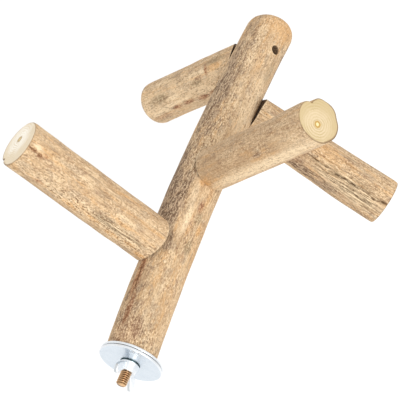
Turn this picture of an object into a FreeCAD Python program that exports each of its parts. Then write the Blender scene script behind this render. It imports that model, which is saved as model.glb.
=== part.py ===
import FreeCAD, Part
import collections
import math
import os

# Cage perch: a natural-wood trunk with four branches screwed on, bolted to cage wires by its stud.
# Millimetres and degrees. The stud runs along Y, the trunk stands out along +Y, +Z is up.
# The origin lies on the stud's axis, midway between the two clamping washers.

# Trunk: the two nearer branches are set out from its cage end, the two farther ones from its free end
TRUNK_LENGTH = 255.5
LOWER_LEFT_FROM_BASE = 71.8
FRONT_RIGHT_FROM_BASE = 129.7
REAR_RIGHT_FROM_TOP = 68.0
UPPER_LEFT_FROM_TOP = 28.4
TRUNK_BASE_DIAMETER = 30.5
TRUNK_TOP_DIAMETER = 30.1
TRUNK_BOW = 4.05
TRUNK_BOW_TURN = -77.8
TRUNK_OFFSET_X = -1.8
TRUNK_OFFSET_Z = 0.3
TRUNK_TOP_ROUND = 7.0

# Branches: roll about the trunk from +Z towards +X, lean back towards the cage, reach from the trunk's axis.
# A cope is the hollow cut in a branch's inner end, and a cope shift moves it sideways off the branch's axis.
# A standoff is the gap from the trunk's skin on the axis to the bottom of the cope.
LOWER_LEFT_ROLL_ANGLE = -48.4
LOWER_LEFT_LEAN_ANGLE = 2.1
LOWER_LEFT_REACH = 115.7
LOWER_LEFT_INNER_DIAMETER = 28.8
LOWER_LEFT_OUTER_DIAMETER = 29.4
LOWER_LEFT_COPE_DIAMETER = 100.0
LOWER_LEFT_STANDOFF = 0.05
UPPER_LEFT_ROLL_ANGLE = -135.5
UPPER_LEFT_LEAN_ANGLE = 7.3
UPPER_LEFT_REACH = 98.0
UPPER_LEFT_INNER_DIAMETER = 28.2
UPPER_LEFT_OUTER_DIAMETER = 28.8
UPPER_LEFT_COPE_DIAMETER = 36.0
UPPER_LEFT_STANDOFF = 0.8
UPPER_LEFT_END_ROUND = 4.0
FRONT_RIGHT_ROLL_ANGLE = 35.1
FRONT_RIGHT_LEAN_ANGLE = 2.5
FRONT_RIGHT_REACH = 122.4
FRONT_RIGHT_INNER_DIAMETER = 25.8
FRONT_RIGHT_OUTER_DIAMETER = 26.8
FRONT_RIGHT_COPE_DIAMETER = 120.0
FRONT_RIGHT_STANDOFF = 0.05
REAR_RIGHT_ROLL_ANGLE = 109.4
REAR_RIGHT_LEAN_ANGLE = 7.3
REAR_RIGHT_REACH = 114.4
REAR_RIGHT_INNER_DIAMETER = 25.6
REAR_RIGHT_OUTER_DIAMETER = 30.2
REAR_RIGHT_COPE_DIAMETER = 36.0
REAR_RIGHT_COPE_SHIFT = 9.0
REAR_RIGHT_STANDOFF = 0.8
SAWN_EDGE_EASE = 0.8

# Bark fold that runs out through the sawn rim of the front right branch
FOLD_TURN = 53.0
FOLD_LENGTH = 26.0
FOLD_DEPTH = 2.2
FOLD_WIDTH = 3.0

# Wood screws, sunk into the far side of the trunk
COUNTERBORE_DIAMETER = 6.2
COUNTERBORE_DEPTH = 14.0
SCREW_HEAD_DIAMETER = 5.6
SCREW_HEAD_HEIGHT = 2.2
SCREW_DIAMETER = 3.0
SCREW_BITE = 24.0
SCREW_POINT = 4.0
SCREW_CLEARANCE = 0.05
UPPER_LEFT_SCREW_SKEW_ANGLE = 4.0

# Hanger bolt, washers and wing nut
STUD_DIAMETER = 6.35
STUD_FREE = 8.0
STUD_CHAMFER = 0.8
LAG_DIAMETER = 6.0
LAG_LENGTH = 32.0
LAG_POINT = 8.0
BOLT_CLEARANCE = 0.05
WASHER_DIAMETER = 38.0
WASHER_THICKNESS = 1.5
WASHER_CLEARANCE = 0.4
WASHER_EDGE = 0.3
WASHER_GAP = 0.3
NUT_GAP = 0.1
NUT_BASE_DIAMETER = 12.0
NUT_TOP_DIAMETER = 9.8
NUT_HEIGHT = 6.0
THREAD_CLEARANCE = 0.05
WING_SPAN = 25.0
WING_HEIGHT = 12.0
WING_THICKNESS = 2.4
WING_EDGE = 0.6
WING_TURN = 160.0

# Outline of a wing: shares of its half span outwards, and of the boss's or its own height
WING_FOOT_RISE = 0.2
WING_ELBOW_OUT = 0.72
WING_ELBOW_RISE = 0.6
WING_TIP_RISE = 0.75
WING_CROWN_OUT = 0.86
WING_THROAT_OUT = 0.6
WING_THROAT_RISE = 0.78

# Natural form of each limb.
# Waves run round it: count, share of radius, turn, twist along the limb.
# Swells stand on it, or are hollows below zero: share of length, turn, share of radius, then their
# spread along it as a share of length and round it in degrees.
Wave = collections.namedtuple("Wave", "count size turn twist")
Swell = collections.namedtuple("Swell", "share turn size length width")
TRUNK_FORM = (Wave(2, 0.016, 30, 60), Wave(3, 0.010, 100, -80), Swell(0.62, 80, 0.033, 0.10, 60))
LOWER_LEFT_FORM = (Wave(2, 0.012, 10, 30), Wave(3, 0.010, 50, 40), Swell(0.55, 200, 0.034, 0.12, 50))
UPPER_LEFT_FORM = (Wave(2, 0.016, 60, 40), Wave(3, 0.012, 20, -50), Swell(0.50, 150, 0.042, 0.15, 50))
FRONT_RIGHT_FORM = (Wave(2, 0.020, 40, 50), Wave(3, 0.014, 80, 30), Swell(0.68, 54, -0.09, 0.14, 50))
REAR_RIGHT_FORM = (Wave(2, 0.016, 20, -40), Wave(3, 0.014, 70, 60), Swell(0.75, 230, 0.041, 0.15, 50))
SECTION_POINT_COUNT = 12
TRUNK_SECTION_COUNT = 8
BRANCH_SECTION_COUNT = 7

# Derived places
TRUNK_BASE_Y = WASHER_GAP / 2 + WASHER_THICKNESS
REAR_RIGHT_STATION = TRUNK_LENGTH - REAR_RIGHT_FROM_TOP
UPPER_LEFT_STATION = TRUNK_LENGTH - UPPER_LEFT_FROM_TOP
NUT_FACE_Y = -WASHER_GAP / 2 - WASHER_THICKNESS - NUT_GAP
STUD_END_Y = NUT_FACE_Y - NUT_HEIGHT - STUD_FREE
BORE_DIAMETER = STUD_DIAMETER + 2 * THREAD_CLEARANCE
PAST_TRUNK = 2 * max(TRUNK_BASE_DIAMETER, TRUNK_TOP_DIAMETER)

ORIGIN = FreeCAD.Vector(0, 0, 0)
ALONG = FreeCAD.Vector(0, 1, 0)
UP = FreeCAD.Vector(0, 0, 1)

Branch = collections.namedtuple(
    "Branch", "station roll lean reach inner outer cope cope_shift standoff form end_round screw_skew")
BRANCHES = {
    "lower_left": Branch(
        LOWER_LEFT_FROM_BASE, LOWER_LEFT_ROLL_ANGLE, LOWER_LEFT_LEAN_ANGLE, LOWER_LEFT_REACH,
        LOWER_LEFT_INNER_DIAMETER, LOWER_LEFT_OUTER_DIAMETER, LOWER_LEFT_COPE_DIAMETER, 0,
        LOWER_LEFT_STANDOFF, LOWER_LEFT_FORM, SAWN_EDGE_EASE, 0),
    "upper_left": Branch(
        UPPER_LEFT_STATION, UPPER_LEFT_ROLL_ANGLE, UPPER_LEFT_LEAN_ANGLE, UPPER_LEFT_REACH,
        UPPER_LEFT_INNER_DIAMETER, UPPER_LEFT_OUTER_DIAMETER, UPPER_LEFT_COPE_DIAMETER, 0,
        UPPER_LEFT_STANDOFF, UPPER_LEFT_FORM, UPPER_LEFT_END_ROUND, UPPER_LEFT_SCREW_SKEW_ANGLE),
    "front_right": Branch(
        FRONT_RIGHT_FROM_BASE, FRONT_RIGHT_ROLL_ANGLE, FRONT_RIGHT_LEAN_ANGLE, FRONT_RIGHT_REACH,
        FRONT_RIGHT_INNER_DIAMETER, FRONT_RIGHT_OUTER_DIAMETER, FRONT_RIGHT_COPE_DIAMETER, 0,
        FRONT_RIGHT_STANDOFF, FRONT_RIGHT_FORM, SAWN_EDGE_EASE, 0),
    "rear_right": Branch(
        REAR_RIGHT_STATION, REAR_RIGHT_ROLL_ANGLE, REAR_RIGHT_LEAN_ANGLE, REAR_RIGHT_REACH,
        REAR_RIGHT_INNER_DIAMETER, REAR_RIGHT_OUTER_DIAMETER, REAR_RIGHT_COPE_DIAMETER,
        REAR_RIGHT_COPE_SHIFT, REAR_RIGHT_STANDOFF, REAR_RIGHT_FORM, SAWN_EDGE_EASE, 0),
}


def radial(turn):
    """Unit vector square to the trunk, turned from +Z towards +X."""
    angle = math.radians(turn)
    return FreeCAD.Vector(math.sin(angle), 0, math.cos(angle))


def between(first, last, share):
    """Value at a share of the way from first to last."""
    return first + (last - first) * share


def formed_radius(radius, form, share, turn):
    """Radius of a limb, with its waves and swells, at a share of its length and a turn about its axis."""
    grown = radius
    for item in form:
        if isinstance(item, Wave):
            phase = item.count * (turn - item.turn - item.twist * share)
            grown += radius * item.size * math.cos(math.radians(phase))
        else:
            away = (turn - item.turn + 180) % 360 - 180
            fade = ((share - item.share) / item.length) ** 2 + (away / item.width) ** 2
            grown += radius * item.size * math.exp(-fade)
    return grown


def limb(centre_at, length, inner, outer, form, forward, up, section_count):
    """Loft a closed limb through irregular round sections along its axis."""
    side = forward.cross(up)
    wires = []
    for index in range(section_count):
        share = index / (section_count - 1)
        centre = centre_at(length * share)
        ring = []
        for step in range(SECTION_POINT_COUNT):
            turn = 360 * step / SECTION_POINT_COUNT
            radius = formed_radius(between(inner, outer, share) / 2, form, share, turn)
            angle = math.radians(turn)
            ring.append(centre + up * (radius * math.cos(angle)) + side * (radius * math.sin(angle)))
        curve = Part.BSplineCurve()
        curve.interpolate(Points=ring, PeriodicFlag=True)
        wires.append(Part.Wire(curve.toShape()))
    return Part.makeLoft(wires, True, False)


def round_end(solid, tip, forward, radius):
    """Round the rim of a limb's flat end, which passes through a tip point on its axis."""
    rim = []
    for face in solid.Faces:
        square = abs(face.normalAt(0, 0).dot(forward)) > 0.999
        if square and abs((face.CenterOfMass - tip).dot(forward)) < radius:
            rim.extend(face.Edges)
    return solid.makeFillet(radius, rim)


def rod(point, forward, start, end, diameter):
    """Cylinder on an axis, between two distances from a point on it."""
    return Part.makeCylinder(diameter / 2, end - start, point + forward * start, forward)


def turned(profile, point, forward):
    """Solid turned about an axis from pairs of distance along it and diameter."""
    side = forward.cross(UP)
    side.normalize()
    corners = [point + forward * distance + side * (diameter / 2) for distance, diameter in profile]
    face = Part.Face(Part.makePolygon(corners + corners[:1]))
    return face.revolve(point, forward, 360)


def depth_inside(solid, point, forward):
    """Distance from a point inside a solid to its skin."""
    probe = Part.makeLine(point, point + forward * PAST_TRUNK)
    return solid.common(probe).Length


def trunk_centre(station):
    """Point on the trunk's bowed axis at a distance from its cage end."""
    share = station / TRUNK_LENGTH
    sag = 4 * TRUNK_BOW * share * (1 - share)
    base = FreeCAD.Vector(TRUNK_OFFSET_X, TRUNK_BASE_Y + station, TRUNK_OFFSET_Z)
    return base + radial(TRUNK_BOW_TURN) * sag


def trunk_blank():
    """The trunk before drilling: bowed, nearly even, its free end rounded over."""
    log = limb(
        trunk_centre, TRUNK_LENGTH, TRUNK_BASE_DIAMETER, TRUNK_TOP_DIAMETER,
        TRUNK_FORM, ALONG, UP, TRUNK_SECTION_COUNT)
    return round_end(log, trunk_centre(TRUNK_LENGTH), ALONG, TRUNK_TOP_ROUND)


def direction(roll, lean):
    """Unit vector out of the trunk at a roll about it, leaning back towards the cage."""
    angle = math.radians(lean)
    return radial(roll) * math.cos(angle) - ALONG * math.sin(angle)


def square_to(forward):
    """Unit vector square to a branch, on the side of the trunk's free end."""
    up = ALONG - forward * ALONG.dot(forward)
    return up.normalize()


def branch(plan, trunk):
    """A limb with a rounded outer rim, hollowed at its inner end and trimmed to the trunk's skin."""
    root = trunk_centre(plan.station)
    forward = direction(plan.roll, plan.lean)
    up = square_to(forward)
    log = limb(
        lambda distance: root + forward * distance, plan.reach, plan.inner, plan.outer,
        plan.form, forward, up, BRANCH_SECTION_COUNT)
    log = round_end(log, root + forward * plan.reach, forward, plan.end_round)
    seat = depth_inside(trunk, root, forward) + plan.standoff
    middle = root + forward * (seat - plan.cope / 2) + forward.cross(up) * plan.cope_shift
    cope = rod(middle, up, -plan.outer, plan.outer, plan.cope)
    return log.cut(cope).cut(trunk)


def bark_fold(plan):
    """Sloping rod that cuts the fold into a branch's skin, deepest at its sawn end."""
    forward = direction(plan.roll, plan.lean)
    up = square_to(forward)
    angle = math.radians(FOLD_TURN)
    outward = up * math.cos(angle) + forward.cross(up) * math.sin(angle)
    skin = formed_radius(plan.outer / 2, plan.form, 1, FOLD_TURN)
    run_out = trunk_centre(plan.station) + forward * (plan.reach - FOLD_LENGTH)
    run_out += outward * (skin + FOLD_WIDTH / 2)
    slope = forward * FOLD_LENGTH - outward * FOLD_DEPTH
    return Part.makeCylinder(FOLD_WIDTH / 2, 2 * slope.Length, run_out, slope)


def screw_axis(plan):
    """Crossing with the trunk's axis, and direction, of a branch's screw."""
    return trunk_centre(plan.station), direction(plan.roll + plan.screw_skew, plan.lean)


def screw_stops(trunk, root, forward):
    """Distances from the trunk's axis to the head's seat and to the screw's tip."""
    seat = COUNTERBORE_DEPTH - depth_inside(trunk, root, forward * -1)
    return seat, depth_inside(trunk, root, forward) + SCREW_BITE


def screw_shank(seat, tip, diameter, root, forward):
    """Shank and point of a wood screw, or of its hole."""
    profile = ((seat, 0), (seat, diameter), (tip - SCREW_POINT, diameter), (tip, 0))
    return turned(profile, root, forward)


def screw(trunk, root, forward):
    """Wood screw with its head on the floor of the counterbore."""
    seat, tip = screw_stops(trunk, root, forward)
    head = rod(root, forward, seat - SCREW_HEAD_HEIGHT, seat, SCREW_HEAD_DIAMETER)
    return head.fuse(screw_shank(seat, tip, SCREW_DIAMETER, root, forward)).removeSplitter()


def screw_hole(trunk, root, forward):
    """All that a screw takes out of the trunk and its branch."""
    seat, tip = screw_stops(trunk, root, forward)
    sunk = rod(root, forward, seat - PAST_TRUNK, seat, COUNTERBORE_DIAMETER)
    return sunk.fuse(screw_shank(seat, tip, SCREW_DIAMETER + 2 * SCREW_CLEARANCE, root, forward))


def lag(diameter):
    """Wood-threaded end of the hanger bolt, or its hole."""
    end = TRUNK_BASE_Y + LAG_LENGTH
    profile = ((TRUNK_BASE_Y, 0), (TRUNK_BASE_Y, diameter), (end - LAG_POINT, diameter), (end, 0))
    return turned(profile, ORIGIN, ALONG)


def hanger_bolt():
    """Chamfered machine-threaded stud with a wood-threaded end."""
    profile = (
        (STUD_END_Y, 0),
        (STUD_END_Y, STUD_DIAMETER - 2 * STUD_CHAMFER),
        (STUD_END_Y + STUD_CHAMFER, STUD_DIAMETER),
        (TRUNK_BASE_Y, STUD_DIAMETER),
        (TRUNK_BASE_Y, 0),
    )
    return turned(profile, ORIGIN, ALONG).fuse(lag(LAG_DIAMETER)).removeSplitter()


def washer(face_y):
    """Wide washer with eased rims, lying from a face towards +Y."""
    disc = rod(ORIGIN, ALONG, face_y, face_y + WASHER_THICKNESS, WASHER_DIAMETER)
    rims = [edge for edge in disc.Edges if edge.Curve.TypeId == "Part::GeomCircle"]
    disc = disc.makeFillet(WASHER_EDGE, rims)
    hole = STUD_DIAMETER + 2 * WASHER_CLEARANCE
    return disc.cut(rod(ORIGIN, ALONG, face_y - WASHER_THICKNESS, face_y + 2 * WASHER_THICKNESS, hole))


def wing(face, outward):
    """One upright wing of the nut, from its bore outwards, with rounded edges."""
    wide = radial(WING_TURN)
    thick = outward.cross(wide)
    tip = WING_SPAN / 2
    root = BORE_DIAMETER / 2

    def corner(across, height):
        return face + wide * across + outward * height - thick * (WING_THICKNESS / 2)

    bottom = corner(root, NUT_HEIGHT * WING_FOOT_RISE)
    top = corner(root, NUT_HEIGHT)
    curve = Part.BSplineCurve()
    curve.interpolate([
        bottom,
        corner(tip * WING_ELBOW_OUT, NUT_HEIGHT * WING_ELBOW_RISE),
        corner(tip, WING_HEIGHT * WING_TIP_RISE),
        corner(tip * WING_CROWN_OUT, WING_HEIGHT),
        corner(tip * WING_THROAT_OUT, WING_HEIGHT * WING_THROAT_RISE),
        top,
    ])
    rim = curve.toShape()
    plate = Part.Face(Part.Wire([rim, Part.makeLine(top, bottom)])).extrude(thick * WING_THICKNESS)
    rims = [edge for edge in plate.Edges if abs(edge.Length - rim.Length) < rim.Length / 1000]
    return plate.makeFillet(WING_EDGE, rims)


def wing_nut():
    """Tapered boss with two wings, bored for the stud."""
    outward = ALONG * -1
    face = FreeCAD.Vector(0, NUT_FACE_Y, 0)
    boss = Part.makeCone(NUT_BASE_DIAMETER / 2, NUT_TOP_DIAMETER / 2, NUT_HEIGHT, face, outward)
    first = wing(face, outward)
    second = first.copy()
    second.rotate(ORIGIN, ALONG, 180)
    bore = rod(face, outward, -NUT_HEIGHT, 2 * WING_HEIGHT, BORE_DIAMETER)
    return boss.fuse([first, second]).cut(bore).removeSplitter()


def build():
    """All pieces by name."""
    blank = trunk_blank()
    trunk = blank.cut(lag(LAG_DIAMETER + 2 * BOLT_CLEARANCE))
    parts = {}
    for name, plan in BRANCHES.items():
        axis = screw_axis(plan)
        hole = screw_hole(blank, *axis)
        trunk = trunk.cut(hole)
        parts[name + "_branch"] = branch(plan, blank).cut(hole)
        parts[name + "_screw"] = screw(blank, *axis)
    fold = bark_fold(BRANCHES["front_right"])
    parts["front_right_branch"] = parts["front_right_branch"].cut(fold)
    parts["trunk"] = trunk
    parts["hanger_bolt"] = hanger_bolt()
    parts["inner_washer"] = washer(WASHER_GAP / 2)
    parts["outer_washer"] = washer(-WASHER_GAP / 2 - WASHER_THICKNESS)
    parts["wing_nut"] = wing_nut()
    return parts


os.makedirs("parts", exist_ok=True)
for name, shape in build().items():
    shape.exportStep("parts/" + name + ".step")
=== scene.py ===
import collections
import itertools
import math

import bpy
import numpy as np
from mathutils import Matrix, Vector


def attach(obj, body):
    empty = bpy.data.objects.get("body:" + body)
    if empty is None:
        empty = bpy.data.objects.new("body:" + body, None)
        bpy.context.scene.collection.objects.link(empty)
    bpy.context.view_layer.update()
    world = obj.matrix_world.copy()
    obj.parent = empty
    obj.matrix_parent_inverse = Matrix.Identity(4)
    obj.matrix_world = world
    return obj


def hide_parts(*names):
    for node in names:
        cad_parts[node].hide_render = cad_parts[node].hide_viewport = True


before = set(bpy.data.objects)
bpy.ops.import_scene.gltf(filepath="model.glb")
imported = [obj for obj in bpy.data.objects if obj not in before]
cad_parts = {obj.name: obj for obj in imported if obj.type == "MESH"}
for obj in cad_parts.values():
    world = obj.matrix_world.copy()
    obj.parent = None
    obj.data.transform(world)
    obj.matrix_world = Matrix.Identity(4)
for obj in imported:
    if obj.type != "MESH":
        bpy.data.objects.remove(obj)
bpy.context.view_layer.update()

# Cage perch: a bark-covered trunk with four branches, a plated stud, two washers and a wing nut.
# Sizes are in millimetres and degrees, in the part's own frame.
# Meshes are scaled to metres as they are made.
MM = 0.001

# Trunk and branches, the same sizes as the solids
TRUNK_LENGTH = 255.5
TRUNK_BASE_Y = 1.65
TRUNK_BOW = 4.05
TRUNK_BOW_TURN = -77.8
TRUNK_OFFSET_X = -1.8
TRUNK_OFFSET_Z = 0.3
TRUNK_WAY = np.array([0.0, 1.0, 0.0])
FOLD_TURN = 53.0
FOLD_LENGTH = 26.0
FOLD_DEPTH = 0.9
FOLD_WIDTH = 0.9
SCREW_HOLE_DIAMETER = 6.2
SCREW_HOLE_DEPTH = 14.0
# Radii over which a screw hole's painted shade gives way to painted light at its mouth
SCREW_HOLE_LIT_MOUTH = (14.0, 15.4)

Wave = collections.namedtuple("Wave", "count size turn twist")
Swell = collections.namedtuple("Swell", "share turn size length width")
Limb = collections.namedtuple(
    "Limb", "name station roll lean reach inner outer cope cope_shift standoff end_round screw_skew form")
TRUNK = Limb(
    "trunk", 0, 0, -90, TRUNK_LENGTH, 30.5, 30.1, 0, 0, 0, 7.0, 0,
    (Wave(2, 0.016, 30, 60), Wave(3, 0.010, 100, -80), Swell(0.62, 80, 0.033, 0.10, 60)))
BRANCHES = (
    Limb("lower_left_branch", 71.8, -48.4, 2.1, 115.7, 28.8, 29.4, 100.0, 0, 0.05, 0.8, 0,
         (Wave(2, 0.012, 10, 30), Wave(3, 0.010, 50, 40), Swell(0.55, 200, 0.034, 0.12, 50))),
    Limb("upper_left_branch", 227.1, -135.5, 7.3, 98.0, 28.2, 28.8, 36.0, 0, 0.8, 4.0, 4,
         (Wave(2, 0.016, 60, 40), Wave(3, 0.012, 20, -50), Swell(0.50, 150, 0.042, 0.15, 50))),
    Limb("front_right_branch", 129.7, 35.1, 2.5, 122.4, 25.8, 26.8, 120.0, 0, 0.05, 0.8, 0,
         (Wave(2, 0.020, 40, 50), Wave(3, 0.014, 80, 30), Swell(0.68, 54, -0.09, 0.14, 50))),
    Limb("rear_right_branch", 187.5, 109.4, 7.3, 114.4, 25.6, 30.2, 36.0, 9.0, 0.8, 0.8, 0,
         (Wave(2, 0.016, 20, -40), Wave(3, 0.014, 70, 60), Swell(0.75, 230, 0.041, 0.15, 50))),
)

# Fineness of the limb meshes
TURN_COUNT = 224
ROW_STEP = 0.55
RIM_ROWS = 7
END_RINGS = 14
INNER_RINGS = 8
HOLE_TURNS = 48
HOLE_OVERSHOOT = 5.0
SHARP_EDGE = 50.0
SEEK_STEPS = 30

# Ends of the limbs: seat on the trunk, pale line at the coped rim as a painted highlight, bark that thins
# out to a sawn rim
SEAT_GAP = 0.02
CUT_RIM = 0.7
BARK_THICKNESS = 0.55
END_PLAIN_LENGTH = 3.0
END_RELIEF_SHARE = 0.25
END_INSET = 0.15
SAWN_ROUND_LIMIT = 1.0

# Tones at cracks, at the fold, of the painted highlight at coped rims, and of the bark at sawn rims, with
# painted shade on one side
CRACK_TONE = 1.6
FOLD_TONE = 0.8
GROOVE_TONE_MOST = 0.85
COPED_RIM_HIGHLIGHT = 0.8
# Dark bark ring of a sawn rim, reaching further in on one side as painted shade
SAWN_RIM_MEAN = 0.75
SAWN_RIM_SHADE_REACH = 0.25
SAWN_RIM_START = 0.7
SAWN_RIM_INSET = 0.15

# Material slots of a limb's mesh
BARK_SLOT, SAWN_SLOT, SHADED_END_SLOT = range(3)

# Relief of the bark as noise: its size, and its places per millimetre across and along a limb
Ripple = collections.namedtuple("Ripple", "size across lengthwise")
FIBRES_LUMPS_FLAKES = (Ripple(0.09, 0.8, 0.07), Ripple(0.18, 0.16, 0.07), Ripple(0.09, 0.45, 0.12))
CRACK_WANDER = (Ripple(0.45, 0, 0.10), Ripple(0.25, 0, 0.5))
CRACK_BREAKS = (Ripple(0.8, 0, 0.45),)
CRACK_USUAL = 0.9
CRACK_LEAST = 0.4
CRACK_SEED_STEP = 7
BARK_SEED_STEP = 10

# Repeatable noise: steps that scramble a place and a seed
HASH_STEPS = np.array([374761393, 668265263, 1274126177])
HASH_SEED_STEP = 974634571
HASH_ROUNDS = ((13, 1103515245), (12, 22695477))
HASH_MASK = 0x7FFFFFFF
HASH_TOP = 0xFFFF

# Shape of a knot, in shares of its radius and height
KNOT_RING = 0.8
KNOT_RING_WIDTH = 0.35
KNOT_DIP = 0.8
KNOT_DIP_WIDTH = 0.4

# Features of the bark: distances along a limb from the trunk's axis, or from the trunk's cage end
Fissure = collections.namedtuple("Fissure", "start turn end end_turn width depth")
Knot = collections.namedtuple("Knot", "along turn radius height")
Patch = collections.namedtuple("Patch", "kind along turn length width strength")
FISSURES = {
    "trunk": (Fissure(12, 334, 34, 326, 0.4, 0.35), Fissure(32, 327, 60, 318, 0.55, 0.5)),
    "lower_left_branch": (
        Fissure(109.5, 247, 115, 248, 0.5, 0.4),
        Fissure(105, 244, 108.5, 247, 0.6, 0.45),
        Fissure(20, 214, 62, 209, 0.35, 0.25),
        Fissure(108, 131, 123, 131, 1.3, 1.6),
    ),
    "rear_right_branch": (
        Fissure(46, 127, 62, 127, 0.35, 0.55),
        Fissure(57, 126, 71, 131, 0.5, 0.8),
        Fissure(71, 134, 84, 133.5, 0.55, 0.9),
        Fissure(81, 131.5, 94, 131, 0.55, 0.8),
        Fissure(86, 133, 95, 124, 0.3, 0.5),
        Fissure(62, 139, 76, 142, 0.3, 0.45),
        Fissure(99, 164, 113, 157, 0.35, 0.6),
        Fissure(103, 133, 110, 129, 0.5, 0.7),
        Fissure(107, 128, 121, 124, 0.7, 1.2),
        Fissure(105, 124, 114, 120, 0.3, 0.4),
        Fissure(84, 150, 96, 149, 0.3, 0.4),
        Fissure(94, 146, 107, 144, 0.3, 0.45),
    ),
}
Flat = collections.namedtuple("Flat", "turn width depth")
FLATS = (Flat(49, 16, 1.9), Flat(2, 14, 0.4), Flat(308, 14, 0.7), Flat(237, 14, 0.4))
KNOTS = {
    "lower_left_branch": (Knot(106.5, 246, 1.8, 0.35),),
    "front_right_branch": (Knot(78, 147, 1.5, 0.3),),
}
# Kinds of bark patch; some rough, rust and pale patches are painted light and shade, noted where they
# stand
PATCH_KINDS = ("rough", "rust_and_shade", "worn", "pale", "moss", "cracked", "coarse")
PATCHES = {
    "trunk": (
        # Rough patches down the trunk's left side: scabby bark and painted shade of that side
        Patch("rough", 100, 330, 34, 44, 1.0),
        Patch("rough", 110, 305, 50, 30, 1.0),
        # Painted shade line along the trunk's right edge
        Patch("rough", 218, 97, 30, 12, 0.9),
        # More scabby bark and painted shade down the trunk's left side
        Patch("rough", 185, 322, 57, 42, 0.85),
        Patch("rough", 228, 325, 25, 36, 0.7),
        Patch("rough", 30, 322, 45, 40, 0.68),
        Patch("rough", 12, 5, 9, 24, 0.8),
        Patch("rough", 4, 345, 8, 60, 0.65),
        Patch("rust_and_shade", 46, 321, 18, 10, 1.0),
        Patch("rust_and_shade", 22, 331, 12, 8, 0.9),
        Patch("rust_and_shade", 10, 0, 9, 16, 0.4),
        Patch("rust_and_shade", 6, 332, 12, 22, 0.35),
        Patch("coarse", 9, 355, 15, 50, 0.8),
        Patch("coarse", 155, 335, 40, 40, 0.6),
        Patch("coarse", 225, 345, 25, 30, 0.5),
        Patch("moss", 35, 5, 45, 60, 0.14),
        Patch("moss", 73.5, 48, 5, 10, 1.0),
        Patch("moss", 94, 47, 5, 9, 0.9),
        Patch("moss", 212, 64, 10, 14, 0.5),
        Patch("rust_and_shade", 101, 42, 4.5, 8, 0.9),
        Patch("worn", 87.5, 61, 5, 8, 1.0),
        Patch("rust_and_shade", 87, 33, 8, 4, 0.45),
        Patch("worn", 117, 22, 3, 9, 0.9),
        Patch("pale", 106, 15, 14, 8, 0.75),
        Patch("pale", 92, 21, 12, 8, 0.8),
        Patch("rough", 72, 2, 12, 10, 0.8),
        Patch("pale", 57.6, 9.5, 1.2, 4, 1.0),
        Patch("worn", 249, 45, 12, 60, 0.8),
        Patch("pale", 185, 60, 30, 25, 0.5),
    ),
    "lower_left_branch": (
        Patch("rust_and_shade", 112, 247.5, 3, 4, 1.0),
        Patch("pale", 110, 259, 3.5, 7, 1.0),
        Patch("rust_and_shade", 106.8, 245, 2.5, 5, 1.0),
        Patch("rust_and_shade", 103.5, 252, 1.8, 5, 0.8),
        Patch("rust_and_shade", 97, 195, 3, 6, 0.8),
        Patch("worn", 74, 194, 6, 7, 1.0),
        Patch("worn", 57.6, 200, 6, 6, 0.9),
        Patch("worn", 42, 193, 6, 7, 1.0),
        Patch("worn", 29.6, 199, 5, 6, 0.9),
        Patch("worn", 19, 188, 5, 7, 1.0),
        Patch("rough", 91, 241, 6, 9, 0.45),
        Patch("rough", 71, 245, 9, 11, 0.45),
        Patch("cracked", 42, 213, 22, 12, 0.8),
        Patch("coarse", 45, 204, 60, 20, 0.8),
        Patch("pale", 60, 200, 60, 14, 0.35),
    ),
    "upper_left_branch": (
        Patch("rust_and_shade", 69, 179, 4, 7, 1.0),
        Patch("rust_and_shade", 58, 179, 5, 7, 1.0),
        Patch("rust_and_shade", 45.5, 174, 5, 9, 1.0),
        Patch("rust_and_shade", 35, 173.5, 4.5, 8, 1.0),
        Patch("rust_and_shade", 86, 168, 9, 9, 0.5),
        Patch("rust_and_shade", 32.8, 240, 1.3, 17, 1.0),
        Patch("worn", 25, 240, 7, 10, 1.0),
        Patch("pale", 36.5, 242, 2.5, 9, 0.9),
        Patch("rust_and_shade", 40, 228, 4, 6, 0.5),
        Patch("moss", 79, 220, 8, 12, 1.0),
        Patch("moss", 43.6, 219, 5, 9, 1.0),
        Patch("moss", 24, 256, 10, 10, 1.0),
        Patch("pale", 62, 205, 60, 60, 0.38),
        Patch("pale", 70, 192, 22, 8, 0.9),
        Patch("pale", 66, 210, 6, 10, 0.8),
        Patch("rough", 50, 255, 60, 35, 0.3),
        Patch("rough", 70, 180, 4, 6, 0.85),
        Patch("rough", 57, 178, 5, 5, 0.8),
        Patch("rough", 43, 173, 4, 7, 0.75),
        Patch("pale", 86, 190, 14, 16, 0.7),
    ),
    "front_right_branch": (
        Patch("rough", 60, 120, 70, 50, 0.25),
        Patch("rust_and_shade", 60, 115, 70, 50, 0.15),
        Patch("moss", 60, 125, 80, 60, 0.25),
        Patch("rough", 74, 160, 5, 8, 0.9),
        Patch("pale", 78, 147, 1.2, 5, 1.0),
        Patch("worn", 17, 172, 5, 14, 1.0),
        # Pale lower edge of the front right branch: painted light from the bright floor below
        Patch("pale", 75, 195, 60, 20, 1.0),
    ),
    "rear_right_branch": (
        # Painted shade on the rear right branch under the front right branch, browned with the rust tone
        Patch("rough", 46, 142, 11, 40, 0.8),
        Patch("rust_and_shade", 46, 142, 11, 40, 0.3),
        # Lower edge of the rear right branch: rough fibres and painted shade of its shaded underside
        Patch("rough", 66, 178, 26, 24, 0.95),
        Patch("rough", 95, 196, 24, 22, 0.65),
        Patch("worn", 65, 100, 18, 20, 0.45),
        Patch("cracked", 88, 142, 26, 28, 1.0),
        Patch("pale", 92, 148, 28, 20, 0.65),
    ),
}

# Bark of each limb: how dark its streaks and blotches are, how close the blotches lie along it,
# and how gritty it is
Bark = collections.namedtuple("Bark", "streak cloud blotch grit")
BARKS = {
    "trunk": Bark(0.35, 0.9, 0.14, 0.75),
    "lower_left_branch": Bark(0.50, 0.75, 0.10, 0.70),
    "upper_left_branch": Bark(0.35, 0.88, 0.14, 0.68),
    "front_right_branch": Bark(0.20, 0.55, 0.15, 0.58),
    "rear_right_branch": Bark(0.65, 1.0, 0.06, 0.85),
}
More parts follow.
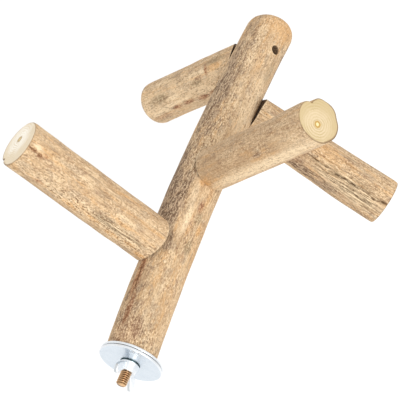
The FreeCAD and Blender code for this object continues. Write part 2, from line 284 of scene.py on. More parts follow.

# End grain: where the pith lies on a sawn end, its tones as linear colours, how strong its rings are,
# how dark its rim of bark is, and the turn at which that rim reaches furthest in as painted shade
SawnEnd = collections.namedtuple(
    "SawnEnd", "pith sap ring pith_tone pith_middle ring_share rim rim_turn")
PLAIN_END = SawnEnd(
    (0, 0), (0.76, 0.60, 0.40), (0.62, 0.44, 0.24), (0.45, 0.27, 0.10), (0.6, 0.4, 0.2),
    ring_share=0.5, rim=0.45, rim_turn=0)
SAWN_ENDS = {
    "lower_left_branch": SawnEnd(
        (3.4, 1.6), (0.97, 0.92, 0.82), (0.72, 0.58, 0.38), (0.46, 0.32, 0.14), (0.70, 0.54, 0.30),
        ring_share=0.75, rim=0.5, rim_turn=90),
    "front_right_branch": SawnEnd(
        (-3.0, 0.0), (0.64, 0.515, 0.335), (0.50, 0.385, 0.20), (0.45, 0.27, 0.06), (0.80, 0.66, 0.36),
        ring_share=1.0, rim=0.85, rim_turn=285),
}


def radial(turn):
    """Unit vector square to the trunk, turned from +Z towards +X."""
    angle = math.radians(turn)
    return np.array([math.sin(angle), 0, math.cos(angle)])


def leaning(roll, lean):
    """Unit vector that leans from square to the trunk towards its cage end."""
    angle = math.radians(lean)
    return radial(roll) * math.cos(angle) - TRUNK_WAY * math.sin(angle)


def placing(root, up, forward):
    """Matrix that puts a frame with these up and forward vectors at a root, in metres."""
    matrix = Matrix((up, np.cross(forward, up), forward)).transposed().to_4x4()
    matrix.translation = Vector(root * MM)
    return matrix


def trunk_centre(station):
    """Points on the trunk's bowed axis at distances from its cage end."""
    station = np.asarray(station, float)
    share = station / TRUNK_LENGTH
    base = np.stack([np.full_like(share, TRUNK_OFFSET_X), TRUNK_BASE_Y + station,
                     np.full_like(share, TRUNK_OFFSET_Z)], axis=-1)
    return base + (4 * TRUNK_BOW * share * (1 - share))[..., None] * radial(TRUNK_BOW_TURN)


def turn_apart(turn, other):
    """Signed difference of two turns, from -180 to 180."""
    return (turn - other + 180) % 360 - 180


def formed_radius(limb, along, turn):
    """Radius of a limb, with its waves and swells."""
    share = along / limb.reach
    radius = (limb.inner + (limb.outer - limb.inner) * share) / 2
    grown = radius
    for item in limb.form:
        if isinstance(item, Wave):
            phase = item.count * (turn - item.turn - item.twist * share)
            grown = grown + radius * item.size * np.cos(np.radians(phase))
        else:
            away = turn_apart(turn, item.turn)
            fade = ((share - item.share) / item.length) ** 2 + (away / item.width) ** 2
            grown = grown + radius * item.size * np.exp(-fade)
    return grown


def limb_axes(limb):
    """Root point of a limb, and its up, side and forward unit vectors."""
    forward = leaning(limb.roll, limb.lean)
    if limb is TRUNK:
        up = np.array([0.0, 0.0, 1.0])
        root = np.array([TRUNK_OFFSET_X, TRUNK_BASE_Y, TRUNK_OFFSET_Z])
    else:
        up = TRUNK_WAY - forward * forward[1]
        up /= np.linalg.norm(up)
        root = trunk_centre(limb.station)
    return root, up, np.cross(forward, up), forward


def limb_matrix(limb):
    """Places a limb's own frame, up, side and forward, in the part's frame, in metres."""
    root, up, _, forward = limb_axes(limb)
    return placing(root, up, forward)


def outside_trunk(points):
    """How far points stand out of the trunk's skin."""
    station = points[..., 1] - TRUNK_BASE_Y
    off = points - trunk_centre(station)
    turn = np.degrees(np.arctan2(off[..., 0], off[..., 2]))
    return np.hypot(off[..., 0], off[..., 2]) - formed_radius(TRUNK, station, turn)


def trunk_exit(limb, turn, share):
    """Distance along a branch at which a line of its body, at a share of its radius, leaves the trunk."""
    root, up, side, forward = limb_axes(limb)
    angle = np.radians(turn)
    across = np.cos(angle)[..., None] * up + np.sin(angle)[..., None] * side
    low = np.zeros_like(angle)
    high = np.full_like(angle, limb.reach / 2)
    for _ in range(SEEK_STEPS):
        middle = (low + high) / 2
        radius = formed_radius(limb, middle, turn) * share
        points = root + middle[..., None] * forward + radius[..., None] * across
        inside = outside_trunk(points) < 0
        low = np.where(inside, middle, low)
        high = np.where(inside, high, middle)
    return high


def inner_end(limb, turn, share):
    """Distance along a branch at which its coped inner end begins, at a share of its radius."""
    seat = trunk_exit(limb, np.zeros(1), 0)[0] + limb.standoff
    trimmed = trunk_exit(limb, turn, share)
    across = formed_radius(limb, trimmed, turn) * share * np.sin(np.radians(turn)) - limb.cope_shift
    cope = seat - limb.cope / 2 + np.sqrt(np.clip((limb.cope / 2) ** 2 - across ** 2, 0, None))
    return np.maximum(cope, trimmed) + SEAT_GAP


def lattice(cells, seed):
    """Repeatable value from 0 to 1 at whole-number places."""
    mixed = cells @ HASH_STEPS + seed * HASH_SEED_STEP
    for shift, factor in HASH_ROUNDS:
        mixed = (mixed ^ (mixed >> shift)) * factor & HASH_MASK
    return (mixed >> 8 & HASH_TOP) / HASH_TOP


def noise_at(places, seed):
    """Smooth noise from -1 to 1."""
    low = np.floor(places).astype(np.int64)
    part = places - low
    part = part * part * (3 - 2 * part)
    total = 0
    for corner in itertools.product((0, 1), repeat=3):
        weight = np.prod(np.where(np.array(corner, bool), part, 1 - part), axis=-1)
        total = total + weight * lattice(low + np.array(corner), seed)
    return 2 * total - 1


def limb_places(limb, along, turn, across, lengthwise):
    """Places on a limb's skin for noise, per millimetre across it and along it."""
    angle = np.radians(turn)
    radius = (limb.inner + limb.outer) / 4
    return np.stack([radius * np.cos(angle) * across, radius * np.sin(angle) * across,
                     along * lengthwise], axis=-1)


def ripple(limb, along, turn, items, seed):
    """Sum of noises over a limb's skin."""
    total = 0
    for index, item in enumerate(items):
        places = limb_places(limb, along, turn, item.across, item.lengthwise)
        total = total + item.size * noise_at(places, seed + index)
    return total


def fissure_depth(limb, along, turn):
    """Depth of the cracks in a limb's bark."""
    seed = int(limb.reach * CRACK_SEED_STEP)
    depth = np.zeros_like(along)
    wander = ripple(limb, along, turn, CRACK_WANDER, seed)
    breaks = ripple(limb, along, turn, CRACK_BREAKS, seed + len(CRACK_WANDER))
    broken = np.clip(CRACK_USUAL + breaks, CRACK_LEAST, 1)
    for item in FISSURES.get(limb.name, ()):
        share = (along - item.start) / (item.end - item.start)
        middle = item.turn + (item.end_turn - item.turn) * share
        off = np.radians(turn_apart(turn, middle)) * limb.outer / 2 + wander
        taper = np.clip(4 * share * (1 - share), 0, 1) ** 0.5
        depth = np.maximum(depth, item.depth * taper * broken * np.exp(-(off / item.width) ** 2))
    return depth


def knot_height(limb, along, turn):
    """Raised rings round the sunk middles of small knots."""
    height = np.zeros_like(along)
    for item in KNOTS.get(limb.name, ()):
        off = np.hypot(along - item.along, np.radians(turn_apart(turn, item.turn)) * limb.outer / 2)
        share = off / item.radius
        ring = np.exp(-((share - KNOT_RING) / KNOT_RING_WIDTH) ** 2)
        dip = KNOT_DIP * np.exp(-(share / KNOT_DIP_WIDTH) ** 2)
        height = height + item.height * (ring - dip)
    return height


def bark_relief(limb, along, turn):
    """Height of the bark over a limb's plain form: fibres, lumps, flakes and knots."""
    seed = int(limb.reach * BARK_SEED_STEP)
    relief = ripple(limb, along, turn, FIBRES_LUMPS_FLAKES, seed)
    return relief + knot_height(limb, along, turn)


def out_share(limb, along):
    """Share of the length that the fold and the flats take, growing to 1 at the branch's outer end."""
    return np.clip((along - limb.reach + FOLD_LENGTH) / FOLD_LENGTH, 0, 1)


def fold_depth(limb, along, turn):
    """Depth of the bark fold that runs out through the front right branch's sawn rim."""
    if limb.name != "front_right_branch":
        return np.zeros_like(along)
    off = np.radians(turn_apart(turn, FOLD_TURN)) * limb.outer / 2
    return FOLD_DEPTH * out_share(limb, along) * np.exp(-(off / FOLD_WIDTH) ** 2)


def flat_depth(limb, along, turn):
    """Depth of the flats that give the front right branch its lobed outer end."""
    depth = np.zeros_like(along)
    if limb.name == "front_right_branch":
        for item in FLATS:
            depth = depth + item.depth * np.exp(-(turn_apart(turn, item.turn) / item.width) ** 2)
    return depth * out_share(limb, along)


def skin_radius(limb, along, turn):
    """Radius of a limb with its bark, plainer and set in at the outer end to keep the limb's girth."""
    to_end = np.clip((limb.reach - along) / END_PLAIN_LENGTH, 0, 1)
    share = END_RELIEF_SHARE + (1 - END_RELIEF_SHARE) * to_end
    relief = bark_relief(limb, along, turn) * share - END_INSET * (1 - to_end)
    sunk = fold_depth(limb, along, turn) + flat_depth(limb, along, turn)
    sunk = sunk + fissure_depth(limb, along, turn)
    return formed_radius(limb, along, turn) + relief - sunk


def bow_offset(limb, along):
    """Sideways offset of a limb's axis, in its own frame."""
    if limb is not TRUNK:
        return np.zeros(np.shape(along) + (3,))
    sag = trunk_centre(along) - np.array([TRUNK_OFFSET_X, TRUNK_BASE_Y, TRUNK_OFFSET_Z])
    _, up, side, _ = limb_axes(limb)
    return np.stack([sag @ up, sag @ side, np.zeros(np.shape(along))], axis=-1)


def ring_points(limb, along, turn, radius):
    """Points of a ring in a limb's own frame."""
    angle = np.radians(turn)
    ring = np.stack([radius * np.cos(angle), radius * np.sin(angle), along], axis=-1)
    return ring + bow_offset(limb, along)


def sawn_across(limb):
    """True for a limb whose outer end is cut square, false for one sanded round."""
    return limb.end_round < SAWN_ROUND_LIMIT


def sawn_end(limb):
    """End grain of a limb."""
    return SAWN_ENDS.get(limb.name, PLAIN_END)


def limb_rings(limb):
    """Rings of a limb from the middle of its inner end, out along the bark, to its outer end's middle."""
    turn = np.arange(TURN_COUNT) * 360 / TURN_COUNT
    even = np.ones(TURN_COUNT)
    rings = []
    slots = []
    start = 0 * even if limb is TRUNK else inner_end(limb, turn, 1)
    # The inner end's face takes the dark hole material, as painted shade
    for index in range(1, INNER_RINGS):
        share = index / INNER_RINGS
        along = start if limb is TRUNK else inner_end(limb, turn, share)
        rings.append(ring_points(limb, along, turn, skin_radius(limb, start, turn) * share))
        slots.append(SHADED_END_SLOT)
    stop = limb.reach - limb.end_round
    row_count = int((stop - start.min()) / ROW_STEP)
    for index in range(row_count):
        along = start + (stop - start) * index / row_count
        rings.append(ring_points(limb, along, turn, skin_radius(limb, along, turn)))
        slots.append(BARK_SLOT)
    edge = skin_radius(limb, limb.reach * even, turn)
    for index in range(RIM_ROWS):
        angle = math.radians(90 * index / (RIM_ROWS - 1))
        along = (stop + limb.end_round * math.sin(angle)) * even
        radius = edge - limb.end_round * (1 - math.cos(angle))
        rings.append(ring_points(limb, along, turn, radius))
        slots.append(SAWN_SLOT if sawn_across(limb) and 2 * index > RIM_ROWS else BARK_SLOT)
    face = edge - limb.end_round - BARK_THICKNESS
    for index in range(END_RINGS):
        share = 1 - index / END_RINGS
        rings.append(ring_points(limb, limb.reach * even, turn, face * share))
        slots.append(slots[-1])
    return np.array(rings), slots


def tube_mesh(name, rings, slots, materials):
    """Closed mesh of rings joined in order, with a middle point at each end.

    A slot is the material past its ring.
    """
    count, turns = rings.shape[:2]
    points = np.vstack([rings.reshape(-1, 3), rings[0].mean(0), rings[-1].mean(0)])
    here = np.arange(turns)
    after = (here + 1) % turns
    faces = []
    picks = []
    for row in range(count - 1):
        low, high = row * turns, (row + 1) * turns
        faces.extend(np.stack([low + here, low + after, high + after, high + here], axis=1).tolist())
        picks.extend([slots[row]] * turns)
    first, last = count * turns, count * turns + 1
    top = (count - 1) * turns
    faces.extend([[first, b, a] for a, b in zip(here.tolist(), after.tolist())])
    faces.extend([[last, top + a, top + b] for a, b in zip(here.tolist(), after.tolist())])
    picks.extend([slots[0]] * turns + [slots[-1]] * turns)
    mesh = bpy.data.meshes.new(name)
    mesh.from_pydata((points * MM).tolist(), [], faces)
    for material in materials:
        mesh.materials.append(material)
    mesh.polygons.foreach_set("material_index", picks)
    mesh.shade_smooth()
    return mesh


def put(name, mesh, matrix=None):
    """New object in the scene."""
    thing = bpy.data.objects.new(name, mesh)
    bpy.context.scene.collection.objects.link(thing)
    if matrix is not None:
        thing.matrix_world = matrix
    return thing


# Material nodes
class Nodes:
    """Lays out one material's nodes."""

    def __init__(self, name):
        self.material = bpy.data.materials.new(name)
        self.material.use_nodes = True
        self.tree = self.material.node_tree
        self.shader = self.tree.nodes["Principled BSDF"]

    def add(self, kind, inputs=None, **settings):
        """A node with settings, its inputs given as values or as other nodes' outputs."""
        node = self.tree.nodes.new("ShaderNode" + kind)
        for key, value in settings.items():
            setattr(node, key, value)
        for key, value in (inputs or {}).items():
            self.feed(node.inputs[key], value)
        return node

    def feed(self, socket, value):
        """Sets a socket to a value, or links it to another node's output."""
        if isinstance(value, bpy.types.NodeSocket):
            self.tree.links.new(value, socket)
        else:
            socket.default_value = value

    def places(self, scale):
        """The object's own coordinates, scaled per millimetre."""
        own = self.add("TexCoord").outputs["Object"]
        scale = tuple(x / MM for x in scale)
        return self.add("VectorMath", {0: own, 1: scale}, operation="MULTIPLY").outputs[0]

    def grain(self, across, lengthwise):
        """A limb's straightened coordinates, scaled per millimetre across it and along it."""
        own = self.add("Attribute", attribute_name="grain").outputs["Vector"]
        scale = (across, across, lengthwise)
        return self.add("VectorMath", {0: own, 1: scale}, operation="MULTIPLY").outputs[0]

    def length(self, vector):
        return self.add("VectorMath", {0: vector}, operation="LENGTH").outputs["Value"]

    def noise(self, places, detail=3.0, rough=0.55):
        inputs = {"Vector": places, "Scale": 1.0, "Detail": detail, "Roughness": rough}
        return self.add("TexNoise", inputs).outputs["Fac"]

    def band(self, value, low, high, start=0.0, end=1.0):
        """Value taken smoothly from start to end as it goes from low to high."""
        inputs = {"Value": value, "From Min": low, "From Max": high, "To Min": start, "To Max": end}
        return self.add("MapRange", inputs, interpolation_type="SMOOTHSTEP").outputs[0]

    def math(self, operation, first, second=0.0):
        return self.add("Math", {0: first, 1: second}, operation=operation).outputs[0]

    def mix(self, factor, first, second):
        node = self.tree.nodes.new("ShaderNodeMix")
        node.data_type = "RGBA"
        self.feed(node.inputs[0], factor)
        for index, value in ((6, first), (7, second)):
            linked = isinstance(value, bpy.types.NodeSocket)
            self.feed(node.inputs[index], value if linked else (*value, 1))
        return node.outputs[2]

    def attribute(self, name):
        return self.add("Attribute", attribute_name=name).outputs["Fac"]

    def bump(self, height, strength, distance):
        inputs = {"Height": height, "Strength": strength, "Distance": distance * MM}
        return self.add("Bump", inputs).outputs[0]


# Tones of wood, as linear colours
LIGHT = (0.68, 0.485, 0.29)
MIDDLE = (0.54, 0.365, 0.21)
DARK = (0.20, 0.115, 0.06)
CREAM = (0.90, 0.71, 0.47)
ASHEN = (0.46, 0.34, 0.225)
UMBER = (0.40, 0.25, 0.15)
# Tones of scabby bark, also laid as painted shade on shaded sides
SCAB_AND_SHADE_DARK = (0.125, 0.072, 0.043)
SCAB_AND_SHADE_LIGHT = (0.48, 0.34, 0.222)
RUST = (0.47, 0.21, 0.09)
RUST_DARK = (0.20, 0.075, 0.035)
WORN = (0.68, 0.39, 0.165)
MOSS = (0.31, 0.225, 0.13)
DEEP = (0.095, 0.050, 0.018)
# Painted shade in screw holes and on the limbs' coped inner ends
RECESS_SHADE = (0.26, 0.165, 0.09)
RECESS_SHADE_DEEP = (0.08, 0.048, 0.026)


def bark_material(name, streak, cloud, blotch, grit):
    """Sanded bark: streaked tan with fine dark and pale grain, and patches of other tones."""
    n = Nodes(name)
    mottle = n.noise(n.grain(0.15, 0.06), 4)
    calm = n.noise(n.grain(0.07, 0.04), 2)
    warm = n.noise(n.grain(0.30, 0.035), 3, 0.6)
    ash = n.noise(n.grain(0.26, blotch), 3, 0.6)
    smudge = n.noise(n.grain(0.34, 1.4 * blotch), 3, 0.6)
    fibre = n.noise(n.grain(1.0, 0.045), 4, 0.65)
    crackle = n.noise(n.grain(1.2, 0.60), 2, 0.85)
    fleck = n.noise(n.grain(0.6, 0.25), 3, 0.7)
    ragged = n.noise(n.grain(1.1, 0.25), 2, 0.8)
    split = n.noise(n.grain(0.5, 0.02), 3)
    thread = n.noise(n.grain(0.7, 0.025), 2)
    broken = n.band(fleck, 0.40, 0.62, 1, 0.55)
    lively = n.math("ADD", n.band(calm, 0.38, 0.60, 0.55, 1), n.attribute("coarse"))
    colour = n.mix(n.band(mottle, 0.36, 0.64), MIDDLE, LIGHT)
    colour = n.mix(n.band(warm, 0.52, 0.66, 0, 0.6), colour, WORN)
    colour = n.mix(n.band(warm, 0.46, 0.34, 0, 0.4), colour, CREAM)
    colour = n.mix(n.band(ash, 0.51, 0.64, 0, 0.85 * cloud), colour, ASHEN)
    colour = n.mix(n.band(smudge, 0.53, 0.68, 0, 0.7 * cloud), colour, UMBER)
    for kind, tone in (("pale", CREAM), ("worn", WORN), ("moss", MOSS)):
        colour = n.mix(n.math("MULTIPLY", n.attribute(kind), broken), colour, tone)
    colour = n.mix(n.math("MULTIPLY", n.band(crackle, 0.53, 0.65, 0, grit), lively), colour, CREAM)
    colour = n.mix(n.math("MULTIPLY", n.band(crackle, 0.47, 0.36, 0, grit), lively), colour, DARK)
    colour = n.mix(n.math("MULTIPLY", n.band(fleck, 0.56, 0.70, 0, 0.3), lively), colour, DARK)
    colour = n.mix(n.band(fibre, 0.52, 0.66, 0, streak), colour, DARK)
    # Rough patches: scabby bark, and on a limb's shaded sides painted shade
    scab_and_shade_tone = n.mix(n.band(ragged, 0.44, 0.58), SCAB_AND_SHADE_DARK, SCAB_AND_SHADE_LIGHT)
    scab_and_shade_tone = n.mix(n.band(fibre, 0.50, 0.62, 0, 0.5), scab_and_shade_tone, SCAB_AND_SHADE_DARK)
    scab_and_shade_tone = n.mix(n.band(crackle, 0.54, 0.66, 0, 0.6), scab_and_shade_tone, CREAM)
    uneven = n.math("MULTIPLY", n.math("SUBTRACT", ash, 0.5), 2.0)
    patchy = n.math("ADD", n.math("MULTIPLY", n.attribute("rough"), 0.8), uneven)
    scab_and_shade_share = n.math("MULTIPLY", n.attribute("rough"), n.band(patchy, 0.2, 0.7, 0.1, 1))
    colour = n.mix(scab_and_shade_share, colour, scab_and_shade_tone)
    reddish = n.mix(n.band(crackle, 0.40, 0.60), RUST_DARK, RUST)
    reddened = n.math("MULTIPLY", n.attribute("rust_and_shade"), n.band(crackle, 0.36, 0.60, 1, 0.5))
    colour = n.mix(reddened, colour, reddish)
    gap = n.math("ABSOLUTE", n.math("SUBTRACT", split, 0.5))
    line = n.math("ABSOLUTE", n.math("SUBTRACT", thread, 0.5))
    cracks = n.math("MAXIMUM", n.band(gap, 0.006, 0.038, 1, 0), n.band(line, 0.01, 0.05, 0.7, 0))
    cracks = n.math("MULTIPLY", n.attribute("cracked"), n.math("MULTIPLY", cracks, broken))
    ridges = n.math("MULTIPLY", n.attribute("cracked"), n.band(line, 0.05, 0.12, 0, 0.6))
    colour = n.mix(ridges, colour, CREAM)
    colour = n.mix(n.math("MULTIPLY", cracks, 0.9), colour, DEEP)
    # Darker at cracks and at the fold, and on a sawn rim's bark ring, which is partly painted shade
    colour = n.mix(n.math("MAXIMUM", n.attribute("groove"), n.attribute("rim")), colour, DEEP)
    n.feed(n.shader.inputs["Base Color"], colour)
    n.feed(n.shader.inputs["Roughness"], n.band(fibre, 0.3, 0.7, 0.75, 0.92))
    n.shader.inputs["Specular IOR Level"].default_value = 0.2
    height = n.math("SUBTRACT", crackle, n.math("ADD", n.math("ADD", fibre, fleck), cracks))
    n.feed(n.shader.inputs["Normal"], n.bump(height, strength=0.8, distance=0.6))
    return n.material


def sawn_material(name, end):
    """Pale end grain: growth rings round a pith and faint pores."""
    n = Nodes(name)
    own = n.add("Attribute", attribute_name="grain").outputs["Vector"]
    off = n.add("VectorMath", {0: own, 1: (*end.pith, 0)}, operation="SUBTRACT").outputs[0]
    flat = n.add("VectorMath", {0: off, 1: (1, 1, 0)}, operation="MULTIPLY").outputs[0]
    distance = n.length(flat)
    cloud = n.noise(n.grain(0.25, 0.25), 3)
    broad = n.noise(n.grain(0.12, 0.12), 2)
    wave = n.math("ADD", n.math("MULTIPLY", distance, 4.0), n.math("MULTIPLY", cloud, 7.0))
    rings = n.math("MULTIPLY", n.band(n.math("SINE", wave), -0.2, 1.0), n.band(broad, 0.35, 0.65, 0.3, 1))
    pores = n.noise(n.grain(1.6, 1.6), 2)
    rim = n.noise(n.grain(0.5, 0.5), 2)
    colour = n.mix(n.math("MULTIPLY", rings, end.ring_share), end.sap, end.ring)
    colour = n.mix(n.band(pores, 0.52, 0.70, 0, 0.5), colour, end.ring)
    outer = n.math("ADD", distance, n.math("MULTIPLY", cloud, 8.0))
    colour = n.mix(n.band(outer, 9.0, 17.0, 0, 0.7), colour, end.ring)
    edge = n.math("ADD", distance, n.math("MULTIPLY", rim, 0.9))
    colour = n.mix(n.band(edge, 2.2, 2.9, 0.9, 0), colour, end.pith_tone)
    colour = n.mix(n.band(edge, 1.2, 1.8, 1, 0), colour, end.pith_middle)
    # Dark bark ring round the end, partly painted shade on its shaded side
    colour = n.mix(n.attribute("rim"), colour, DARK)
    n.feed(n.shader.inputs["Base Color"], colour)
    n.shader.inputs["Roughness"].default_value = 0.8
    n.shader.inputs["Specular IOR Level"].default_value = 0.2
    n.feed(n.shader.inputs["Normal"], n.bump(n.math("ADD", rings, pores), strength=0.35, distance=0.2))
    return n.material


def drilled_material():
    """Dark wall of a drilled hole and of the limbs' inner ends, as painted shade, paler at the hole's
    mouth as painted light.
    """
    n = Nodes("drilled_wood")
    fuzz = n.noise(n.grain(1.2, 1.2), 3)
    from_axis = n.length(n.grain(1, 0))
    wall = n.mix(n.band(fuzz, 0.35, 0.7), RECESS_SHADE_DEEP, RECESS_SHADE)
    n.feed(n.shader.inputs["Base Color"], n.mix(n.band(from_axis, *SCREW_HOLE_LIT_MOUTH), wall, MIDDLE))
    n.shader.inputs["Roughness"].default_value = 0.95
    n.feed(n.shader.inputs["Normal"], n.bump(fuzz, strength=0.4, distance=0.2))
    return n.material


def thread_valley(n):
    """Share of the thread's depth, from its crests."""
    return n.attribute("valley")


def washer_rim_highlight(n):
    """Rises to 1 at a washer's outer edge, where a painted highlight lies."""
    reach = n.length(n.places((1, 0, 1)))
    return n.band(reach, WASHER_RADIUS - WASHER_RIM_HIGHLIGHT[0], WASHER_RADIUS - WASHER_RIM_HIGHLIGHT[1])


def nut_painted_shade(n):
    """Rises to 1 at the nut's foot, on the washer, and a little on the narrow edges of its wings: painted
    shade.
    """
    height = n.add("SeparateXYZ", {0: n.places((1, 1, 1))}).outputs["Y"]
    foot = n.band(height, NUT_FACE_Y - NUT_FOOT_SHADE[0], NUT_FACE_Y - NUT_FOOT_SHADE[1])
    normal = n.add("TexCoord").outputs["Normal"]
    broadside = tuple(radial(WING_TURN + 90))
    facing = n.add("VectorMath", {0: normal, 1: broadside}, operation="DOT_PRODUCT").outputs["Value"]
    edge = n.band(n.math("ABSOLUTE", facing), 0.5, 0.2, 0, WING_EDGE_SHADE)
    on_wing = n.band(n.length(n.places((1, 0, 1))), *WING_START)
    return n.math("MAXIMUM", foot, n.math("MULTIPLY", edge, on_wing))


def plated_material(name, colour, tarnish, rough, marked=None, mark=None):
    """Plated steel with fine scratches and slight clouding, and another tone where it is marked: dark in
    a thread's valleys, a painted highlight on a washer's rim, painted shade at the nut's foot and wing
    edges.
    """
    n = Nodes(name)
    cloud = n.noise(n.places((0.3, 0.3, 0.3)), 4)
    scratch = n.noise(n.places((3.0, 0.5, 3.0)), 3)
    tone = n.mix(n.band(cloud, 0.4, 0.75, 0, 0.6), colour, tarnish)
    if marked:
        tone = n.mix(marked(n), tone, mark)
    n.feed(n.shader.inputs["Base Color"], tone)
    n.feed(n.shader.inputs["Roughness"], n.band(scratch, 0.3, 0.7, rough - 0.08, rough + 0.1))
    n.shader.inputs["Metallic"].default_value = 1.0
    n.feed(n.shader.inputs["Normal"], n.bump(scratch, strength=0.12, distance=0.05))
    return n.material


def patch_share(limb, kind, along, turn):
    """Strength of one kind of patch at points of a limb."""
    share = np.zeros_like(along)
    for item in PATCHES[limb.name]:
        if item.kind == kind:
            away = turn_apart(turn, item.turn) / item.width
            off = ((along - item.along) / item.length) ** 2 + away ** 2
            share = np.maximum(share, item.strength * np.exp(-off ** 2))
    return share


def paint(limb, mesh):
    """Writes a limb's straightened coordinates, patches and cracks on its mesh."""
    points = np.zeros(len(mesh.vertices) * 3)
    mesh.vertices.foreach_get("co", points)
    points = points.reshape(-1, 3) / MM
    along = points[:, 2]
    straight = points - bow_offset(limb, along)
    turn = np.degrees(np.arctan2(straight[:, 1], straight[:, 0])) % 360
    shares = {kind: patch_share(limb, kind, along, turn) for kind in PATCH_KINDS}
    groove = CRACK_TONE * fissure_depth(limb, along, turn)
    groove += FOLD_TONE * (fold_depth(limb, along, turn) / FOLD_DEPTH) ** 3
    shares["groove"] = np.clip(groove, 0, GROOVE_TONE_MOST)
    if limb is not TRUNK:
        # Pale line along the coped rim: painted highlight of its cut edge
        from_cut = (along - inner_end(limb, turn, 1)) / CUT_RIM
        shares["pale"] = np.maximum(shares["pale"], COPED_RIM_HIGHLIGHT * np.exp(-from_cut ** 2))
    if sawn_across(limb):
        end = sawn_end(limb)
        inside = skin_radius(limb, along, turn) - np.hypot(straight[:, 0], straight[:, 1])
        # The dark rim reaches further in on one side of the end: painted shade on its shaded side
        rim_reach_with_shade = SAWN_RIM_MEAN + SAWN_RIM_SHADE_REACH * np.cos(np.radians(turn - end.rim_turn))
        at_end = along > limb.reach - SAWN_RIM_START * limb.end_round
        at_rim = inside < limb.end_round * (SAWN_RIM_INSET + rim_reach_with_shade)
        shares["rim"] = end.rim * rim_reach_with_shade * (at_end & at_rim)
    for kind, values in shares.items():
        mesh.attributes.new(kind, "FLOAT", "POINT").data.foreach_set("value", values.astype(np.float32))
    grain = mesh.attributes.new("grain", "FLOAT_VECTOR", "POINT")
    grain.data.foreach_set("vector", straight.astype(np.float32).ravel())


def plain_ring(radius, along, count):
    """Points of a ring round the Z axis."""
    angle = np.radians(np.arange(count) * 360 / count)
    return np.stack([radius * np.cos(angle), radius * np.sin(angle), 0 * angle + along], axis=1)


def screw_hole(limb):
    """Drill for a branch's sunk screw, from outside the trunk to the hole's floor."""
    root = trunk_centre(limb.station)
    forward = leaning(limb.roll + limb.screw_skew, limb.lean)
    back = TRUNK.inner
    for _ in range(SEEK_STEPS):
        back -= outside_trunk((root - forward * back)[None])[0]
    outside = -back - HOLE_OVERSHOOT
    bottom = SCREW_HOLE_DEPTH - back
    wide = SCREW_HOLE_DIAMETER / 2
    narrow = wide / 2
    rings = [plain_ring(radius, along, HOLE_TURNS)
             for radius, along in ((narrow, outside), (wide, outside), (wide, bottom), (narrow, bottom))]
    up = np.cross(forward, TRUNK_WAY)
    up /= np.linalg.norm(up)
    return np.array(rings), placing(root, up, forward)


def drill(thing, rings, matrix, material):
    """Cuts a drilled hole out of an object."""
    cutter = put("drill", tube_mesh("drill", rings, [0] * len(rings), [material]), matrix)
    bpy.context.view_layer.update()
    step = thing.modifiers.new("hole", "BOOLEAN")
    step.operation = "DIFFERENCE"
    step.solver = "EXACT"
    step.object = cutter
    view = bpy.context.evaluated_depsgraph_get()
    cut = bpy.data.meshes.new_from_object(thing.evaluated_get(view))
    thing.modifiers.clear()
    thing.data = cut
    bpy.data.objects.remove(cutter)


def build_limb(limb, bark, sawn, drilled):
    """One limb, in place of its plain solid."""
    rings, slots = limb_rings(limb)
    mesh = tube_mesh(limb.name, rings, slots, [bark, sawn, drilled])
    thing = put(limb.name + "_wood", mesh, limb_matrix(limb))
    if limb is TRUNK:
        for branch in BRANCHES:
            drill(thing, *screw_hole(branch), drilled)
        thing.data.set_sharp_from_angle(angle=math.radians(SHARP_EDGE))
    paint(limb, thing.data)
    thing.data.transform(thing.matrix_world)
    thing.matrix_world = Matrix.Identity(4)
    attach(thing, "perch")
    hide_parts(limb.name)


# Stud with its thread, washers and nut
# A band of another tone has two values: where it starts and where it is full
WASHER_RADIUS = 19.0
WASHER_RIM_HIGHLIGHT = (0.6, 0.2)
NUT_FACE_Y = -1.75
# Painted shade at the nut's foot and on the narrow edges of its wings
NUT_FOOT_SHADE = (0.8, 0.45)
WING_TURN = 160.0
WING_START = (6.5, 7.5)
WING_EDGE_SHADE = 0.25
STUD_RADIUS = 3.175
STUD_END_Y = -15.75
STUD_CHAMFER = 0.8
THREAD_PITCH = 1.27
THREAD_DEPTH = 0.62
THREAD_SLOPE = 1.35
THREAD_CREST = 0.18
LAG_RADIUS = 3.0
LAG_END_Y = 33.65
LAG_POINT = 8.0
LAG_TIP_SHARE = 0.02
LAG_PITCH = 2.6
LAG_DEPTH = 0.7
THREAD_STEP = 0.09
THREAD_TURNS = 96


def thread_depth(along, turn, pitch, depth):
    """Depth below the crest of a right-hand thread."""
    phase = (along / pitch - turn / 360) % 1
    return depth * np.clip(THREAD_SLOPE * np.abs(2 * phase - 1) - THREAD_CREST, 0, 1)


def hanger_bolt(material):
    """Machine-threaded stud with a wood-threaded end, in place of the plain solid."""
    turn = np.arange(THREAD_TURNS) * 360 / THREAD_TURNS
    rings = []
    valleys = []
    for along in np.arange(STUD_END_Y, LAG_END_Y, THREAD_STEP):
        if along < TRUNK_BASE_Y:
            depth = thread_depth(along, turn, THREAD_PITCH, THREAD_DEPTH)
            radius = np.minimum(STUD_RADIUS - depth, STUD_RADIUS - STUD_CHAMFER + along - STUD_END_Y)
        else:
            depth = thread_depth(along, turn, LAG_PITCH, LAG_DEPTH)
            radius = (LAG_RADIUS - depth) * np.clip((LAG_END_Y - along) / LAG_POINT, LAG_TIP_SHARE, 1)
        rings.append(plain_ring(radius, along, THREAD_TURNS))
        valleys.extend(depth / max(THREAD_DEPTH, LAG_DEPTH))
    mesh = tube_mesh("hanger_bolt", np.array(rings), [0] * len(rings), [material])
    z_to_y = Matrix(((0, 1, 0), (0, 0, 1), (1, 0, 0))).to_4x4()
    mesh.transform(z_to_y)
    mesh.attributes.new("valley", "FLOAT", "POINT").data.foreach_set("value", valleys + [0.0, 0.0])
    bolt = put("hanger_bolt_thread", mesh)
    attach(bolt, "perch")
    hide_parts("hanger_bolt")


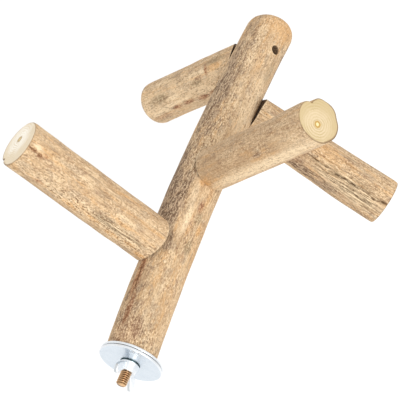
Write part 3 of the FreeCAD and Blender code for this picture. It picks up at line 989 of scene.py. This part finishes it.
def dress(node, material):
    """Gives a plain solid its finish."""
    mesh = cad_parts[node].data
    mesh.materials.clear()
    mesh.materials.append(material)


# Setting: floor, lights and camera
FLOOR_Z = -400.0
FLOOR_SIDE = 6000.0
CAMERA_PLACE = (166.4, -339.5, 775.4)
CAMERA_ELEVATION = 58.03
CAMERA_AZIMUTH = 20.18
CAMERA_LENS = 135.88
SKY_STRENGTH = 1.0
KEY_PLACE = (600, -450, 1000)
KEY_TARGET = (0, 120, 0)
KEY_SIDE = 700.0
KEY_POWER = 9.0
KEY_COLOUR = (1.0, 0.98, 0.95)
FLOOR_TONES = (0.90, 0.90, 0.90), (0.92, 0.92, 0.92)


def floor():
    """Plain pale floor well below the part."""
    n = Nodes("floor")
    tone = n.noise(n.places((0.002, 0.002, 0.002)), 2)
    n.feed(n.shader.inputs["Base Color"], n.mix(n.band(tone, 0.3, 0.7), *FLOOR_TONES))
    n.shader.inputs["Roughness"].default_value = 0.9
    half = FLOOR_SIDE / 2 * MM
    mesh = bpy.data.meshes.new("floor")
    corners = [(-half, -half, 0), (half, -half, 0), (half, half, 0), (-half, half, 0)]
    mesh.from_pydata(corners, [], [(0, 1, 2, 3)])
    mesh.materials.append(n.material)
    put("floor", mesh, Matrix.Translation((0, 0, FLOOR_Z * MM)))


def world_light(strength):
    """Even white light from all round."""
    world = bpy.data.worlds.new("studio")
    world.use_nodes = True
    back = world.node_tree.nodes["Background"]
    back.inputs["Color"].default_value = (1.0, 1.0, 1.0, 1)
    back.inputs["Strength"].default_value = strength
    bpy.context.scene.world = world


def lamp(name, place, target, side, power, colour):
    """Square soft light aimed at a point."""
    light = bpy.data.lights.new(name, "AREA")
    light.size = side * MM
    light.energy = power
    light.color = colour
    thing = put(name, light)
    thing.location = Vector(place) * MM
    thing.rotation_euler = (Vector(target) - Vector(place)).to_track_quat("-Z", "Y").to_euler()


def camera():
    """Camera above and to the right of the cage end, looking down at the part."""
    data = bpy.data.cameras.new("camera")
    data.lens = CAMERA_LENS
    thing = put("camera", data)
    thing.location = Vector(CAMERA_PLACE) * MM
    azimuth = math.radians(CAMERA_AZIMUTH)
    elevation = math.radians(CAMERA_ELEVATION)
    level = math.cos(elevation)
    back = Vector((math.sin(azimuth) * level, -math.cos(azimuth) * level, math.sin(elevation)))
    thing.rotation_euler = (-back).to_track_quat("-Z", "Y").to_euler()
    bpy.context.scene.camera = thing


drilled = drilled_material()
for limb in (TRUNK, *BRANCHES):
    bark = bark_material(limb.name + "_bark", *BARKS[limb.name])
    sawn = sawn_material(limb.name + "_sawn", sawn_end(limb))
    build_limb(limb, bark, sawn, drilled)
hanger_bolt(plated_material(
    "yellow_plated", colour=(0.77, 0.50, 0.27), tarnish=(0.50, 0.29, 0.15), rough=0.32,
    marked=thread_valley, mark=(0.10, 0.04, 0.015)))
# Washers: painted highlight at their outer rims
washer_zinc = plated_material(
    "bright_zinc", colour=(0.66, 0.72, 0.78), tarnish=(0.58, 0.65, 0.72), rough=0.32,
    marked=washer_rim_highlight, mark=(0.82, 0.85, 0.88))
for node in ("inner_washer", "outer_washer"):
    dress(node, washer_zinc)
# Wing nut: painted shade at its foot and on its wings' edges
dress("wing_nut", plated_material(
    "pale_zinc", colour=(0.89, 0.91, 0.93), tarnish=(0.76, 0.80, 0.84), rough=0.36,
    marked=nut_painted_shade, mark=(0.06, 0.10, 0.11)))
steel = plated_material("screw_steel", colour=(0.42, 0.41, 0.39), tarnish=(0.25, 0.23, 0.21), rough=0.4)
for limb in BRANCHES:
    dress(limb.name.replace("branch", "screw"), steel)

floor()
world_light(SKY_STRENGTH)
lamp("key", KEY_PLACE, KEY_TARGET, KEY_SIDE, KEY_POWER, KEY_COLOUR)
camera()
bpy.context.scene.view_settings.view_transform = "Standard"
